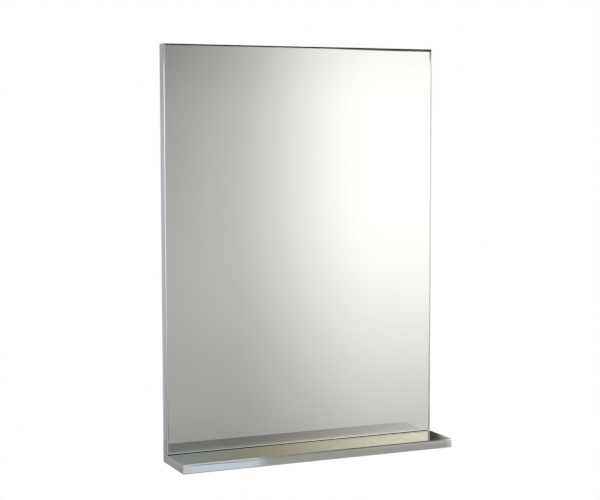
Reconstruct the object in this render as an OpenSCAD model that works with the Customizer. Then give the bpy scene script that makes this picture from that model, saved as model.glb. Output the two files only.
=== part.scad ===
// Wall mirror in a polished steel frame that stands on a folded steel shelf.
// Millimetres, +Z up. The origin is midway between the two upper wall screws, in the wall plane:
// +X runs to the right along the wall and +Y into the wall, so the shelf reaches towards -Y.
// The frame, mirror and shelf hang as one on hook rails and lift straight up off them.

/* [Overall] */
// Width of the frame and of the shelf
overall_w = 500; // [420:10:800]
// Height from the underside of the shelf to the top of the frame
overall_h = 700; // [520:10:1000]
// Depth from the wall to the front of the shelf
shelf_d = 100; // [80:1:160]
// Height of the shelf's folded front and ends
shelf_h = 16; // [14:0.5:30]

/* [Frame] */
// Depth of the frame, from the wall to the rounded nose of its hem
frame_d = 21; // [21:0.5:30]
// Thickness of the frame's sheet
frame_t = 1; // [0.9:0.1:1.4]
// Gap left inside the hem along the frame's front
hem_gap = 0.2; // [0.1:0.1:0.8]
// How far the hem runs back from the frame's front
hem_d = 6; // [4:0.5:8]
// Length of each leg of the corner angles
corner_leg = 18; // [12:1:19]
// Width of the corner angles, along the frame's depth
corner_w = 8; // [5:0.5:9]
// Inside radius of the corner angles' fold
corner_bend = 0.5; // [0.3:0.1:2]

/* [Mirror] */
// Thickness of the glass
glass_t = 4; // [3:0.5:4.5]
// How far the face of the glass lies behind the nose of the frame
glass_back = 1; // [0.6:0.1:1.5]
// Gap round the glass, which the edge seal fills
seal_w = 0.3; // [0.2:0.1:1]
// Depth of the edge seal
seal_d = 2.4; // [1:0.1:3]
// How far the edge seal lies behind the face of the glass
seal_back = 0.4; // [0.2:0.1:0.6]
// Thickness of the silvering with its protective paint
silver_t = 0.2; // [0.1:0.05:0.5]
// Thickness of the foam tapes that bond the glass to the pan
tape_t = 3; // [2:0.5:3.5]
// Width of each foam tape
tape_w = 30; // [15:1:40]
// Number of foam tapes, side by side
tape_n = 5; // [2:1:7]
// Distance of the foam tapes from the edges of the glass
tape_edge = 30; // [20:1:60]
// Diameter of the holes in a foam tape that passes over a rivet
tape_hole_d = 10; // [9:0.5:14]

/* [Back pan] */
// Thickness of the pan's sheet
pan_t = 1; // [0.8:0.1:1.2]
// Inside radius of the pan's folds
pan_bend = 0.5; // [0.3:0.1:1]
// Play between the pan and each stile
pan_play = 0.3; // [0.1:0.1:0.6]
// How far the pan's flanges stop short of the wall
pan_setback = 0.5; // [0.2:0.1:1]
// Length that is cut out of the flanges at each corner of the pan
pan_notch = 20; // [19:1:32]

/* [Hook rails] */
// Length of each rail on the wall
rail_w = 300; // [220:10:360]
// Thickness of the rails and of the cleats that hang on them
rail_t = 1.5; // [1.2:0.1:2]
// Inside radius of the folds of rails and cleats
rail_bend = 0.5; // [0.3:0.1:0.5]
// Height of the part of a rail that is screwed to the wall
rail_base = 26; // [20:1:36]
// Depth of a rail, from the wall to the front of its hook
rail_d = 5.6; // [5:0.1:6]
// Height of a rail's hook, from the underside of its step
rail_hook = 12; // [10:0.5:16]
// Drop of the upper wall screws below the top of the frame
rail_drop = 100; // [90:1:140]
// Rise of the lower wall screws above the shelf
lower_rise = 80; // [60:1:120]
// Length of each cleat on the pan
cleat_w = 280; // [200:10:340]
// Height of the part of a cleat that is riveted to the pan
cleat_base = 26; // [18:1:36]
// Play between a rail's hook and the cleat's, along the depth
hook_play = 0.6; // [0.6:0.1:0.8]
// Play under the tip of the upper cleat's hook
tip_play = 1; // [0.5:0.1:2]
// Height by which the lower cleat stays clear of its rail
keeper_play = 2; // [1:0.5:3]

/* [Shelf] */
// Thickness of the shelf's sheet
shelf_t = 1.5; // [1.2:0.1:1.8]
// Inside radius of the shelf's folds
shelf_bend = 0.5; // [0.3:0.1:1]
// Outside radius of the shelf's upright front corners
shelf_corner = 0.8; // [0.4:0.1:1.2]
// Width of the flange folded in under the front and the ends
return_w = 12; // [8:0.5:16]
// Length of the stiffener under the shelf
hat_l = 440; // [300:10:440]
// Height of the stiffener
hat_h = 9; // [6:0.5:9]
// Width of each of the stiffener's two flanges
hat_flange = 10; // [6:0.5:12]
// Width of the stiffener's crown
hat_crown = 20; // [12:1:24]
// Thickness of the stiffener's sheet
hat_t = 1.2; // [1:0.1:1.5]

/* [Fasteners] */
// Diameter of the wall screw holes
wall_hole_d = 5.5; // [4.5:0.1:7]
// Distance between the two wall screw holes of a rail
wall_hole_pitch = 220; // [120:5:260]
// Thread diameter of the machine screws
screw_d = 4; // [3:0.5:4]
// Extra diameter of the holes that a screw passes freely
screw_clear = 0.4; // [0.2:0.1:0.8]
// Length of the machine screws
screw_l = 8; // [8:1:9]
// Diameter of the screw heads
head_d = 7.6; // [7:0.2:8]
// Height of the shelf screws' heads
head_h = 2.2; // [2:0.1:3]
// Width across the flats of the sockets in the screw heads
socket_af = 2.5; // [2:0.1:3]
// Depth of the sockets in the screw heads
socket_h = 1.3; // [0.8:0.1:1.5]
// Play between the shelf screws' heads and the fold behind them
head_play = 0.2; // [0.1:0.1:0.6]
// Width across the flats of the nuts on the pan
nut_af = 7; // [6.5:0.5:8]
// Height of the nuts
nut_h = 3.2; // [2.4:0.1:4]
// Number of screws up through the shelf
shelf_screw_n = 4; // [2:1:5]
// Number of screws down through the top rail
top_screw_n = 3; // [2:1:5]
// Distance of the end screws from the end of the frame
screw_end = 50; // [40:1:80]
// Diameter of the rivets
rivet_d = 4; // [3.2:0.2:4.8]
// Diameter of the rivet heads
rivet_head_d = 7.5; // [6.4:0.1:8.4]
// Height of the rivet heads
rivet_head_h = 1.2; // [0.8:0.1:1.5]
// Number of rivets in each cleat
rivet_n = 4; // [2:1:5]
// Distance of the end rivets from the end of a cleat
rivet_end = 15; // [10:1:30]

/* [Hidden] */
$fn = 64;
// Overlap of a cutting tool past the face it cuts
cut = 1;

// Heights. The wall screws of the upper rail are at zero.
z_top = rail_drop;
z_bottom = z_top - overall_h;
z_shelf = z_bottom + shelf_h;
frame_h = z_top - z_shelf;
z_mid = (z_top + z_shelf) / 2;

// Layers from the front to the wall, as distances along Y. The wall is at zero.
y_front = -frame_d;
y_glass = y_front + glass_back;
y_silver = y_glass + glass_t;
y_tape = y_silver + silver_t;
y_pan = y_tape + tape_t;
y_cleat = y_pan + pan_t;

// Inside the frame's hem
hem_w = 2 * frame_t + hem_gap;
glass_w = overall_w - 2 * (hem_w + seal_w);
glass_h = frame_h - 2 * (hem_w + seal_w);
pan_w = overall_w - 2 * (frame_t + pan_play);
pan_h = frame_h - 2 * frame_t;
pan_d = -pan_setback - y_pan;

// Hooks. The upper cleat sits on the rail's hook, and the lower one only keeps the mirror to the wall.
seat_rise = rail_base / 2 + rail_hook;
cleat_hook = rail_hook - tip_play;
cleat_d = -y_cleat - rail_d + rail_t + hook_play + rail_t;
z_lower = z_shelf + lower_rise;
z_upper_cleat = seat_rise + rail_t;
z_lower_cleat = z_lower + seat_rise + keeper_play + rail_t;

// Screws, nuts and rivets
y_screw = -(shelf_t + shelf_bend + head_play + head_d / 2);
cone_h = (head_d - screw_d) / 2;
hex_across = 2 / sqrt(3);

// Positions of n copies spread evenly from -span/2 to span/2
function spread(n, span) = [for (i = [0 : n - 1]) -span / 2 + i * span / (n - 1)];

shelf_screw_x = spread(shelf_screw_n, overall_w - 2 * screw_end);
top_screw_x = spread(top_screw_n, overall_w - 2 * screw_end);
rivet_x = spread(rivet_n, cleat_w - 2 * rivet_end);
tape_x = spread(tape_n, glass_w - 2 * tape_edge - tape_w);
rivet_rise = (cleat_base + rail_bend) / 2;

steel = "gainsboro";
zinc = "lightslategray";

// ---- Folded sheet ----

// Quarter ring of a fold about the origin, in the quadrant of -x and -y
module fold(t, r) {
    intersection() {
        difference() {
            circle(r + t);
            circle(r);
        }
        translate([-r - t, -r - t]) square(r + t);
    }
}

// Angle section with its outside corner at the origin and its legs along +x and +y
module angle_section(leg_x, leg_y, t, r) {
    translate([r + t, 0]) square([leg_x - r - t, t]);
    translate([0, r + t]) square([t, leg_y - r - t]);
    translate([r + t, r + t]) fold(t, r);
}

// Wall along +x whose front edge, at x = 0, is folded back on itself: a hem with a rounded nose
module hemmed_section(depth, hem, t, gap) {
    nose = t + gap / 2;
    translate([nose, 0]) square([depth - nose, t]);
    translate([nose, t + gap]) square([hem - nose, t]);
    translate([nose, nose])
        for (side = [0, 1])
            mirror([0, side]) fold(t, gap / 2);
}

// Z section: a base below y = 0 against the line x = 0, a step out to x = depth, and a hook upwards
module z_section(base, depth, hook, t, r) {
    translate([0, -base]) square([t, base - r]);
    translate([r + t, -r]) mirror([0, 1]) fold(t, r);
    translate([r + t, 0]) square([depth - 2 * (r + t), t]);
    translate([depth - r - t, r + t]) mirror([1, 0]) fold(t, r);
    translate([depth - t, r + t]) square([t, hook - r - t]);
}

// Rectangle centred on x that stands on y = 0, with its four corners rounded as listed:
// lower left, lower right, upper right, upper left
module rounded_section(w, h, r, corners) {
    difference() {
        translate([-w / 2, 0]) square([w, h]);
        for (i = [0 : 3])
            if (corners[i]) {
                side = (i == 0 || i == 3) ? -1 : 1;
                up = (i < 2) ? 0 : 1;
                translate([side * w / 2, up * h])
                    mirror([side > 0 ? 1 : 0, 0])
                        mirror([0, up])
                            difference() {
                                translate([-cut, -cut]) square(r + cut);
                                translate([r, r]) circle(r);
                            }
            }
    }
}

// Folded body w by d by h on z = 0: each of its folds is an arc of one section, run through the other
module folded_body(w, d, h, r, x_corners, y_corners) {
    intersection() {
        rotate([90, 0, 0]) linear_extrude(d + 2 * cut, center = true) rounded_section(w, h, r, x_corners);
        rotate([90, 0, 90]) linear_extrude(w + 2 * cut, center = true) rounded_section(d, h, r, y_corners);
    }
}

// ---- Frame ----

// Places a member that lies along X, with its outside at z = 0, on one of the frame's four sides
module on_side(side) {
    if (side == "bottom") translate([0, 0, z_shelf]) children();
    if (side == "top") translate([0, 0, z_top]) rotate([0, 180, 0]) children();
    if (side == "left") translate([-overall_w / 2, 0, z_mid]) rotate([0, 90, 0]) children();
    if (side == "right") translate([overall_w / 2, 0, z_mid]) rotate([0, -90, 0]) children();
}

// Runs a section of (depth, distance in from the outside) along a side and mitres both its ends
module mitred(length, rise) {
    intersection() {
        rotate([90, 0, 90]) linear_extrude(length, center = true) children();
        rotate([90, 0, 0])
            linear_extrude(2 * frame_d + 2 * cut, center = true)
                polygon([[-length / 2, 0], [length / 2, 0],
                         [length / 2 - rise, rise], [rise - length / 2, rise]]);
    }
}

module frame_member(length) {
    mitred(length, hem_w + cut) translate([y_front, 0]) hemmed_section(frame_d, hem_d, frame_t, hem_gap);
}

module left_stile() {
    color(steel) on_side("left") frame_member(frame_h);
}

module right_stile() {
    color(steel) on_side("right") frame_member(frame_h);
}

module top_rail() {
    color(steel)
        difference() {
            on_side("top") frame_member(overall_w);
            for (x = top_screw_x) translate([x, y_screw, z_top]) countersink();
        }
}

module bottom_rail() {
    color(steel)
        difference() {
            on_side("bottom") frame_member(overall_w);
            for (x = shelf_screw_x) translate([x, y_screw, z_shelf - cut]) clearance_hole(frame_t + 2 * cut);
        }
}

// Angles welded into the frame's inside corners
module corner_angles() {
    y_angle = (y_pan + pan_t + pan_bend) / 2;
    color("silver")
        for (sx = [-1, 1], sz = [-1, 1])
            translate([sx * (overall_w / 2 - frame_t), y_angle, z_mid + sz * (frame_h / 2 - frame_t)])
                rotate([90, 0, 0])
                    linear_extrude(corner_w, center = true)
                        mirror([sx > 0 ? 1 : 0, 0])
                            mirror([0, sz > 0 ? 1 : 0])
                                angle_section(corner_leg, corner_leg, frame_t, corner_bend);
}

// ---- Mirror pack ----

// Block centred on the frame, from depth y back by t
module layer(w, y, t, h) {
    translate([-w / 2, y, z_mid - h / 2]) cube([w, t, h]);
}

module mirror_glass() {
    color("lightcyan") layer(glass_w, y_glass, glass_t, glass_h);
}

module silvering() {
    color("slategray") layer(glass_w, y_silver, silver_t, glass_h);
}

// Sealant between the edge of the glass and the frame's hem
module edge_seal() {
    y_seal = y_glass + seal_back;
    color("dimgray")
        difference() {
            layer(glass_w + 2 * seal_w, y_seal, seal_d, glass_h + 2 * seal_w);
            layer(glass_w, y_seal - cut, seal_d + 2 * cut, glass_h);
        }
}

module foam_tapes() {
    color("whitesmoke")
        difference() {
            for (x = tape_x) translate([x, 0, 0]) layer(tape_w, y_tape, tape_t, glass_h - 2 * tape_edge);
            at_rivets() translate([0, 0, -tape_t - cut]) cylinder(d = tape_hole_d, h = tape_t + 2 * cut);
        }
}

// ---- Back pan ----

module back_pan() {
    color(zinc)
        difference() {
            translate([0, y_pan, z_mid])
                rotate([-90, 0, 0])
                    difference() {
                        folded_body(pan_w, pan_h, pan_d, pan_bend + pan_t, [1, 1, 0, 0], [1, 1, 0, 0]);
                        translate([0, 0, pan_t])
                            folded_body(pan_w - 2 * pan_t, pan_h - 2 * pan_t, pan_d, pan_bend,
                                        [1, 1, 0, 0], [1, 1, 0, 0]);
                        for (sx = [-1, 1], sy = [-1, 1])
                            translate([sx * pan_w / 2, sy * pan_h / 2, pan_t + pan_bend + pan_d / 2])
                                cube([2 * pan_notch, 2 * pan_notch, pan_d], center = true);
                    }
            for (x = top_screw_x) translate([x, y_screw, z_top]) countersink();
            for (x = shelf_screw_x) translate([x, y_screw, z_shelf]) clearance_hole(frame_t + pan_t + cut);
            at_rivets() rivet_hole(pan_t);
        }
}

// ---- Hook rails and cleats ----

// Rail against the wall with its screw line at height z
module wall_rail(z) {
    color(zinc)
        difference() {
            translate([0, 0, z + rail_base / 2])
                rotate([90, 0, -90])
                    linear_extrude(rail_w, center = true)
                        z_section(rail_base, rail_d, rail_hook, rail_t, rail_bend);
            for (x = [-1, 1] * wall_hole_pitch / 2)
                translate([x, cut, z]) rotate([90, 0, 0]) cylinder(d = wall_hole_d, h = rail_t + 2 * cut);
        }
}

// Cleat on the pan with its step at height z
module cleat(z) {
    color(zinc)
        difference() {
            translate([0, y_cleat, z])
                rotate([90, 0, 90])
                    linear_extrude(cleat_w, center = true)
                        mirror([0, 1])
                            z_section(cleat_base, cleat_d, cleat_hook, rail_t, rail_bend);
            at_rivets() translate([0, 0, pan_t]) rivet_hole(rail_t);
        }
}

module upper_cleat() {
    cleat(z_upper_cleat);
}

module lower_cleat() {
    cleat(z_lower_cleat);
}

module upper_wall_rail() {
    wall_rail(0);
}

module lower_wall_rail() {
    wall_rail(z_lower);
}

// ---- Shelf ----

// Sheet folded down at the front, the ends and the wall, and in again under the front and the ends
module shelf_shell() {
    inside = 2 * shelf_t;
    color(steel)
        difference() {
            translate([0, -shelf_d / 2, z_bottom])
                difference() {
                    intersection() {
                        folded_body(overall_w, shelf_d, shelf_h, shelf_bend + shelf_t,
                                    [1, 1, 1, 1], [1, 0, 1, 1]);
                        rounded_plan();
                    }
                    translate([0, 0, shelf_t])
                        folded_body(overall_w - inside, shelf_d - inside, shelf_h - inside, shelf_bend,
                                    [1, 1, 1, 1], [1, 0, 1, 1]);
                    translate([return_w - overall_w / 2, return_w - shelf_d / 2, -cut])
                        cube([overall_w - 2 * return_w, shelf_d - return_w - shelf_t, shelf_h / 2 + cut]);
                }
            for (x = shelf_screw_x)
                translate([x, y_screw, z_shelf - shelf_t - cut]) clearance_hole(shelf_t + 2 * cut);
        }
}

// Outline of the shelf seen from above, with its two front corners rounded
module rounded_plan() {
    translate([0, -shelf_d / 2, -cut])
        linear_extrude(shelf_h + 2 * cut) rounded_section(overall_w, shelf_d, shelf_corner, [1, 1, 0, 0]);
}

// Hat section under the middle of the shelf, made of two Z sections
module shelf_stiffener() {
    half_crown = hat_crown / 2;
    color("silver")
        translate([0, -shelf_d / 2, z_shelf - shelf_t])
            for (side = [0, 1])
                mirror([0, side, 0])
                    rotate([0, 90, 0])
                        linear_extrude(hat_l, center = true)
                            translate([0, -half_crown])
                                z_section(hat_flange, hat_h, half_crown, hat_t, rail_bend);
}

// ---- Fasteners ----

// Puts children on the front face of the pan at each rivet, with +Z into the wall
module at_rivets() {
    for (z = [z_upper_cleat, z_lower_cleat], x = rivet_x)
        translate([x, y_pan, z + rivet_rise]) rotate([-90, 0, 0]) children();
}

module rivet_hole(depth) {
    translate([0, 0, -cut]) cylinder(d = rivet_d, h = depth + 2 * cut);
}

module cleat_rivets() {
    color("silver")
        at_rivets() {
            translate([0, 0, -rivet_head_h]) cylinder(d = (rivet_d + rivet_head_d) / 2, h = rivet_head_h);
            cylinder(d = rivet_d, h = pan_t + rail_t);
            translate([0, 0, pan_t + rail_t]) cylinder(d1 = rivet_head_d, d2 = rivet_d, h = rivet_head_h);
        }
}

// Hole upwards from the origin that a machine screw passes freely
module clearance_hole(depth) {
    cylinder(d = screw_d + screw_clear, h = depth);
}

// Seat of a countersunk screw, downwards from the origin
module countersink() {
    translate([0, 0, -cone_h]) cylinder(d1 = screw_d, d2 = head_d, h = cone_h);
    cylinder(d = head_d, h = cut);
    translate([0, 0, -frame_t - pan_t - cut]) cylinder(d = screw_d, h = frame_t + pan_t + cut);
}

// Hexagonal socket, upwards from the origin
module socket() {
    cylinder(d = socket_af * hex_across, h = socket_h + cut, $fn = 6);
}

module top_screws() {
    color("silver")
        for (x = top_screw_x)
            translate([x, y_screw, z_top])
                difference() {
                    union() {
                        translate([0, 0, -cone_h]) cylinder(d1 = screw_d, d2 = head_d, h = cone_h);
                        translate([0, 0, -screw_l]) cylinder(d = screw_d, h = screw_l - cone_h);
                    }
                    translate([0, 0, -socket_h]) socket();
                }
}

module shelf_screws() {
    color("silver")
        for (x = shelf_screw_x)
            translate([x, y_screw, z_shelf - shelf_t])
                difference() {
                    union() {
                        translate([0, 0, -head_h]) cylinder(d = head_d, h = head_h);
                        cylinder(d = screw_d, h = screw_l);
                    }
                    translate([0, 0, socket_h - head_h]) mirror([0, 0, 1]) socket();
                }
}

// Hexagonal nut with its thread on Z, upwards from the origin
module nut() {
    difference() {
        cylinder(d = nut_af * hex_across, h = nut_h, $fn = 6);
        translate([0, 0, -cut]) cylinder(d = screw_d, h = nut_h + 2 * cut);
    }
}

module pan_nuts() {
    reach = frame_t + pan_t;
    color("silver") {
        for (x = top_screw_x) translate([x, y_screw, z_top - reach - nut_h]) nut();
        for (x = shelf_screw_x) translate([x, y_screw, z_shelf + reach]) nut();
    }
}

left_stile();
right_stile();
top_rail();
bottom_rail();
corner_angles();
mirror_glass();
silvering();
edge_seal();
foam_tapes();
back_pan();
upper_cleat();
lower_cleat();
cleat_rivets();
pan_nuts();
top_screws();
shelf_shell();
shelf_stiffener();
shelf_screws();
upper_wall_rail();
lower_wall_rail();
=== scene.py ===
# Looks for the wall mirror with a steel shelf. Metres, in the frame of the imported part:
# +X right, +Y into the wall, +Z up, with the origin between the two upper wall screws.
import math

import bmesh
import bpy
from mathutils import Matrix, Vector


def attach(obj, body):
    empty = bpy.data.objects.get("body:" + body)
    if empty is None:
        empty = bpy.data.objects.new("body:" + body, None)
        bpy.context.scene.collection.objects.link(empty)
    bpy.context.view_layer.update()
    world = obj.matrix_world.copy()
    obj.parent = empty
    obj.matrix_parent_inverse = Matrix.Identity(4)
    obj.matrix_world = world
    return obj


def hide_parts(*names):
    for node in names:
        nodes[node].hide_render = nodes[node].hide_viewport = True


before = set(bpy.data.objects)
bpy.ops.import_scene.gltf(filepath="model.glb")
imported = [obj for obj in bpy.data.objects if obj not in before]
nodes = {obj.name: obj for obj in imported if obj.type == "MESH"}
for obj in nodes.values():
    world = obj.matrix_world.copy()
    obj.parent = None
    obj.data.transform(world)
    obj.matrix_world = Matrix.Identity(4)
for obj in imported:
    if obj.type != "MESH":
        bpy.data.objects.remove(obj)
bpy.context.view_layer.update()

MM = 0.001

# ---- Sizes, in millimetres, as in the part's source ----

WIDTH = 500
Z_TOP = 100
Z_BOTTOM = -600
SHELF_D = 100
SHELF_H = 16
SHELF_T = 1.5
SHELF_BEND = 0.5
SHELF_FOLD = SHELF_BEND + SHELF_T
SHELF_CORNER = 0.8
RETURN_W = 12
Z_SHELF = Z_BOTTOM + SHELF_H
Z_MID = (Z_TOP + Z_SHELF) / 2
FRAME_H = Z_TOP - Z_SHELF
FRAME_D = 21
FRAME_T = 1
HEM_GAP = 0.2
HEM_D = 6
HEM_W = 2 * FRAME_T + HEM_GAP
GLASS_BACK = 1
GLASS_T = 4
SEAL_W = 0.3
PAN_T = 1
Y_FRONT = -FRAME_D
Y_GLASS = Y_FRONT + GLASS_BACK
Y_SILVER = Y_GLASS + GLASS_T
Y_PAN = -12.8
Y_CLEAT = Y_PAN + PAN_T
GLASS_W = WIDTH - 2 * (HEM_W + SEAL_W)
GLASS_H = FRAME_H - 2 * (HEM_W + SEAL_W)
RAIL_W = 300
RAIL_T = 1.5
RAIL_BEND = 0.5
RAIL_BASE = 26
RAIL_D = 5.6
RAIL_HOOK = 12
CLEAT_W = 280
CLEAT_BASE = 26
CLEAT_D = 9.8
CLEAT_HOOK = 11
Z_LOWER = Z_SHELF + 80
Z_UPPER_CLEAT = 26.5
Z_LOWER_CLEAT = -475.5
WALL_HOLE_D = 5.5
WALL_HOLE_X = 110
HAT_L = 440
HAT_H = 9
HAT_FLANGE = 10
HAT_CROWN = 20
HAT_T = 1.2
SCREW_D = 4
SCREW_L = 8
SCREW_HOLE_D = 4.4
HEAD_D = 7.6
HEAD_H = 2.2
CONE_H = (HEAD_D - SCREW_D) / 2
SOCKET_AF = 2.5
SOCKET_H = 1.3
NUT_AF = 7
NUT_H = 3.2
NUT_REACH = FRAME_T + PAN_T
Y_SCREW = -6
SHELF_SCREWS = 4
TOP_SCREWS = 3
SCREW_SPAN = 400
RIVET_D = 4
RIVET_HEAD_D = 7.5
RIVET_HEAD_H = 1.2
RIVETS = 4
RIVET_SPAN = 250
RIVET_RISE = 13.25

# ---- Sizes of the details that only the looks have, in millimetres ----

PLAY = 0.02
GLASS_PLAY = 0.03
GLASS_SEAM = 0.1
PITCH = 0.7
THREAD_DEPTH = 0.38
ROD_ROOT = 0.2  # how deep a rod's end sits in its head
SEAT_PLAY = 0.1
CHAMFER = 0.35
WELD_PITCH = 55
EDGE_SHADE_W = 1.7
BEYOND = 1  # how far a cutting tool reaches past what it cuts

# Where a polished face changes its look, and where its painted highlights and painted shade begin
# and end: the start and the end of a soft step.
HEM_NOSE = (Y_FRONT + 0.8, Y_FRONT + FRAME_T)
BEHIND_SILVER = (Y_SILVER, Y_SILVER + 0.4)
TOP_LINE = (Z_TOP - 2.1, Z_TOP - 1.9)
FOOT_LINE = (Z_SHELF + 0.7, Z_SHELF + 1)
BRIGHT_RAIL = (-150, 60)
BRIGHT_STILE = (66, 80)
DIM_WEB_FRONT = (Y_FRONT + 1.5, -2)
DIM_WEB_LOW = (-560, -60)
UPPER_FOLD = (Z_SHELF - SHELF_FOLD - 0.1, Z_SHELF - SHELF_FOLD + 0.3)
UPPER_LINE = (Z_SHELF - 1.3, Z_SHELF - 0.7)
FRONT_FOLD = (SHELF_FOLD - 0.1 - SHELF_D, SHELF_FOLD + 0.3 - SHELF_D)
END_FOLD = (SHELF_FOLD - 0.1 - WIDTH / 2, SHELF_FOLD + 0.3 - WIDTH / 2)
DARK_FOLD_STARTS = (-126, -102)
DARK_FOLD_DEEPENS = (-130, 70)
DARK_FOLD_ENDS = (222, 247)
PALE_END = (WIDTH / 2 - 13, WIDTH / 2 - 2)
# Where the painted shade along the top edge of the silver starts and widens.
EDGE_SHADE_STARTS = (-20, 30)
EDGE_SHADE_WIDENS = (-10, 190)


# ---- Node trees ----

class Value:
    """A number or vector in a node tree. Python's operators on it add Math nodes."""

    def __init__(self, tree, socket):
        self.tree = tree
        self.socket = socket

    def math(self, operation, *others):
        """A Math node whose first value is this one."""
        return arithmetic(self.tree, operation, self, *others)

    def __add__(self, other):
        return self.math("ADD", other)

    def __sub__(self, other):
        return self.math("SUBTRACT", other)

    def __rsub__(self, other):
        return arithmetic(self.tree, "SUBTRACT", other, self)

    def __mul__(self, other):
        return self.math("MULTIPLY", other)

    def __truediv__(self, other):
        return self.math("DIVIDE", other)

    def __rtruediv__(self, other):
        return arithmetic(self.tree, "DIVIDE", other, self)

    def __pow__(self, other):
        return self.math("POWER", other)

    def __neg__(self):
        return self.math("MULTIPLY", -1.0)

    def __abs__(self):
        return self.math("ABSOLUTE")

    __radd__ = __add__
    __rmul__ = __mul__

    def step(self, low, high):
        """0 below low, 1 above high and smooth between them."""
        limits = {"Value": self, "From Min": low, "From Max": high}
        return add(self.tree, "ShaderNodeMapRange", {"interpolation_type": "SMOOTHSTEP"}, limits)[0]

    def fall(self, low, high):
        """1 below low, 0 above high and smooth between them."""
        return 1 - self.step(low, high)

    def window(self, low, high, soft):
        """1 from low to high, and 0 further than soft outside them."""
        return self.step(low - soft, low) * self.fall(high, high + soft)

    def dimmed(self, share, mask):
        """Less by a share where mask is 1."""
        return self * (1 - share * mask)


class Outputs:
    """The outputs of a node, by name or number."""

    def __init__(self, tree, node):
        self.tree = tree
        self.node = node

    def __getitem__(self, key):
        return Value(self.tree, self.node.outputs[key])


def add(tree, kind, settings=None, inputs=None):
    """Adds a node: first its settings, then the values or links of its sockets."""
    node = tree.nodes.new(kind)
    for name, value in (settings or {}).items():
        setattr(node, name, value)
    for key, value in (inputs or {}).items():
        if isinstance(value, Value):
            tree.links.new(value.socket, node.inputs[key])
        elif isinstance(value, tuple) and node.inputs[key].type == "RGBA":
            node.inputs[key].default_value = (*value, 1)
        else:
            node.inputs[key].default_value = value
    return Outputs(tree, node)


def arithmetic(tree, operation, *values):
    return add(tree, "ShaderNodeMath", {"operation": operation}, dict(enumerate(values)))[0]


def mix(tree, factor, a, b, label=""):
    """Colour a where factor is 0 and b where it is 1."""
    settings = {"data_type": "RGBA", "label": label}
    return add(tree, "ShaderNodeMix", settings, {"Factor": factor, 6: a, 7: b})[2]


def tinted(tree, level, tint):
    """The colour whose red, green and blue are level times those of tint."""
    channels = {i: level * share for i, share in enumerate(tint)}
    return add(tree, "ShaderNodeCombineColor", None, channels)[0]


def places(tree, stretch=(1, 1, 1), turn=(0, 0, 0)):
    """Object coordinates, stretched and turned for a pattern."""
    coordinates = add(tree, "ShaderNodeTexCoord")["Object"]
    inputs = {"Vector": coordinates, "Scale": stretch, "Rotation": turn}
    return add(tree, "ShaderNodeMapping", None, inputs)[0]


def split(tree, coordinates):
    """X, Y and Z of an output of Texture Coordinate."""
    vector = add(tree, "ShaderNodeTexCoord")[coordinates]
    parts = add(tree, "ShaderNodeSeparateXYZ", None, {0: vector})
    return [parts[i] for i in range(3)]


def axes(tree):
    """X, Y and Z of the Object coordinates, in millimetres."""
    return [part * (1 / MM) for part in split(tree, "Object")]


def noise(tree, vector, scale, detail=2.0, rough=0.5):
    """Cloudy noise around 0.5."""
    inputs = {"Vector": vector, "Scale": scale, "Detail": detail, "Roughness": rough}
    return add(tree, "ShaderNodeTexNoise", None, inputs)["Fac"]


def cells(tree, vector, scale):
    settings = {"feature": "F1"}
    inputs = {"Vector": vector, "Scale": scale, "Randomness": 1}
    return add(tree, "ShaderNodeTexVoronoi", settings, inputs)


def bump(tree, height, strength, distance):
    inputs = {"Height": height, "Strength": strength, "Distance": distance}
    return add(tree, "ShaderNodeBump", None, inputs)[0]


def material(name, paint):
    """A new material whose Principled sockets are what paint(tree) gives."""
    made = bpy.data.materials.new(name)
    made.use_nodes = True
    tree = made.node_tree
    tree.nodes.clear()
    shader = add(tree, "ShaderNodeBsdfPrincipled", None, paint(tree))
    add(tree, "ShaderNodeOutputMaterial", None, {"Surface": shader[0]})
    return made


# ---- Polished sheet ----

LINES_ALONG_X = (2, 900, 900)
LINES_ALONG_Z = (900, 900, 2)
# Colours painted on the hems' noses: a painted highlight, painted shade at the bottom rail's foot,
# and a painted dark reflection along the top rail's nose.
PAINTED_HIGHLIGHT_COLOUR = (0.98, 0.98, 0.95)
PAINTED_FOOT_SHADE = (0.05, 0.05, 0.045)
PAINTED_DARK_REFLECTION = (0.01, 0.01, 0.009)


def polish(tree, grain, inside):
    """Sockets of mirror-polished stainless steel. The grain stretches its polishing lines along a
    member, and inside is 1 where the sheet keeps its dull mill finish."""
    clouds = noise(tree, places(tree), 9, 3)
    lines = noise(tree, places(tree, grain), 1, 2, 0.6)
    hairs = noise(tree, places(tree, grain, (0.0, 0.12, 0.0)), 0.6, 1).step(0.66, 0.72)
    wiped = noise(tree, places(tree, (1, 1, 1), (0.4, 0.2, 0.6)), 26, 4, 0.7)
    mill = noise(tree, places(tree), 2400, 2)
    bright = mix(tree, clouds, (0.60, 0.595, 0.575), (0.64, 0.63, 0.61))
    dull = mix(tree, mill, (0.44, 0.44, 0.43), (0.54, 0.54, 0.53))
    gloss = 0.016 + wiped.step(0.45, 0.8) * 0.022 + hairs * 0.03 + lines * 0.012
    return {
        "Base Color": mix(tree, inside, bright, dull),
        "Metallic": 1.0,
        "Roughness": gloss * (1 - inside) + (mill * 0.12 + 0.3) * inside,
        "Normal": bump(tree, lines * 0.6 + clouds * 0.4 + mill * inside * 6, 0.08, 0.00002),
    }


def outer_face(distance, reach):
    """1 on the faces that lie at reach from the middle, and 0 on what lies inside them."""
    return abs(distance).step(reach - 0.3, reach - 0.1)


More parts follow.
